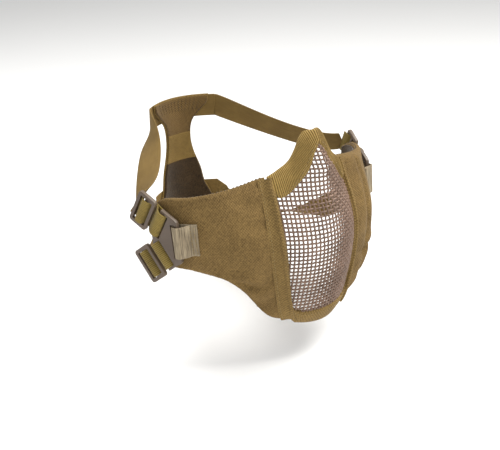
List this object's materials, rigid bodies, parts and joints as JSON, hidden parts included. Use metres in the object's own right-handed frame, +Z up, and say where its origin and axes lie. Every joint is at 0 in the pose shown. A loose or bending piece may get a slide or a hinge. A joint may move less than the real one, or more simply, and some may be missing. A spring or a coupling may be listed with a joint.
{
  "type": "half-face wire-mesh mask",
  "caption": "Half-face mask: a formed woven-wire guard over nose, mouth and chin, bound in webbing, with padded side panels and a sliding-buckle strap harness.",
  "frame": {"origin": "in the face hollow: on the mid-plane, level with the two strap plates, in the plane of the seam tops", "axes": "+Z up, the guard faces -Y, +X towards the wearer's left"},
  "size_m": [0.228, 0.2093, 0.1585],
  "materials": {
    "mesh": "tan coat over woven steel wire",
    "ribbed_webbing": "coarse ribbed woven webbing",
    "binding": "woven binding",
    "panel_fabric": "plain-woven pack cloth",
    "lining": "brushed dark knit",
    "foam": "soft closed-cell sheet",
    "loop_webbing": "flat grey-tan webbing",
    "plastic": "moulded, satin",
    "strap_webbing": "smooth tan webbing",
    "pad_webbing": "wide woven band"
  },
  "bodies": {
    "front": {"wire_mesh": "mesh", "nose_binding": "ribbed_webbing", "nose_lining": "lining", "chin_binding": "binding", "chin_lining": "lining", "right_seam_tape": "binding", "left_seam_tape": "binding"},
    "right_cheek": {"right_cheek_shell": "panel_fabric", "right_cheek_foam": "foam", "right_cheek_lining": "lining", "right_cheek_loop": "loop_webbing"},
    "right_plate": {"right_strap_plate": "plastic"},
    "right_upper_adjuster": {"right_upper_adjuster": "plastic"},
    "right_lower_adjuster": {"right_lower_adjuster": "plastic"},
    "left_cheek": {"left_cheek_shell": "panel_fabric", "left_cheek_foam": "foam", "left_cheek_lining": "lining", "left_cheek_loop": "loop_webbing"},
    "left_plate": {"left_strap_plate": "plastic"},
    "left_upper_adjuster": {"left_upper_adjuster": "plastic"},
    "left_lower_adjuster": {"left_lower_adjuster": "plastic"},
    "harness": {"right_upper_strap": "strap_webbing", "right_lower_strap": "strap_webbing", "left_upper_strap": "strap_webbing", "left_lower_strap": "strap_webbing", "head_pad": "pad_webbing", "head_pad_lining": "lining"}
  },
  "joints": [
    {"name": "right_cheek_seam", "type": "hinge", "parent": "front", "child": "right_cheek", "pos_m": [-0.035, -0.01225, -0.015], "axis": [-0.0257, 0.124, 0.992], "range_deg": [-12, 15], "deforming": ["right_seam_tape", "right_upper_strap", "right_lower_strap"]},
    {"name": "right_plate_swivel", "type": "hinge", "parent": "right_cheek", "child": "right_plate", "pos_m": [-0.09932, 0.02582, 0.00088], "axis": [-0.0247, 0.0836, 0.9962], "range_deg": [-8, 20], "deforming": ["right_cheek_loop", "right_upper_strap", "right_lower_strap"]},
    {"name": "right_upper_adjuster_slide", "type": "slide", "parent": "right_plate", "child": "right_upper_adjuster", "axis": [-0.2506, 0.8466, 0.4695], "range_m": [-0.005, 0.001], "deforming": ["right_upper_strap"]},
    {"name": "right_lower_adjuster_slide", "type": "slide", "parent": "right_plate", "child": "right_lower_adjuster", "axis": [-0.2236, 0.7556, -0.6157], "range_m": [-0.005, 0.001], "deforming": ["right_lower_strap"]},
    {"name": "left_cheek_seam", "type": "hinge", "parent": "front", "child": "left_cheek", "pos_m": [0.035, -0.01225, -0.015], "axis": [-0.0257, -0.124, -0.992], "range_deg": [-12, 15], "deforming": ["left_seam_tape", "left_upper_strap", "left_lower_strap"]},
    {"name": "left_plate_swivel", "type": "hinge", "parent": "left_cheek", "child": "left_plate", "pos_m": [0.09932, 0.02582, 0.00088], "axis": [-0.0247, -0.0836, -0.9962], "range_deg": [-8, 20], "deforming": ["left_cheek_loop", "left_upper_strap", "left_lower_strap"]},
    {"name": "left_upper_adjuster_slide", "type": "slide", "parent": "left_plate", "child": "left_upper_adjuster", "axis": [0.2506, 0.8466, 0.4695], "range_m": [-0.005, 0.001], "deforming": ["left_upper_strap"]},
    {"name": "left_lower_adjuster_slide", "type": "slide", "parent": "left_plate", "child": "left_lower_adjuster", "axis": [0.2236, 0.7556, -0.6157], "range_m": [-0.005, 0.001], "deforming": ["left_lower_strap"]},
    {"name": "harness_tilt", "type": "hinge", "parent": "front", "child": "harness", "pos_m": [0, 0.04, 0], "axis": [1, 0, 0], "range_deg": [-25, 35], "deforming": ["right_upper_strap", "right_lower_strap", "left_upper_strap", "left_lower_strap"]}
  ]
}
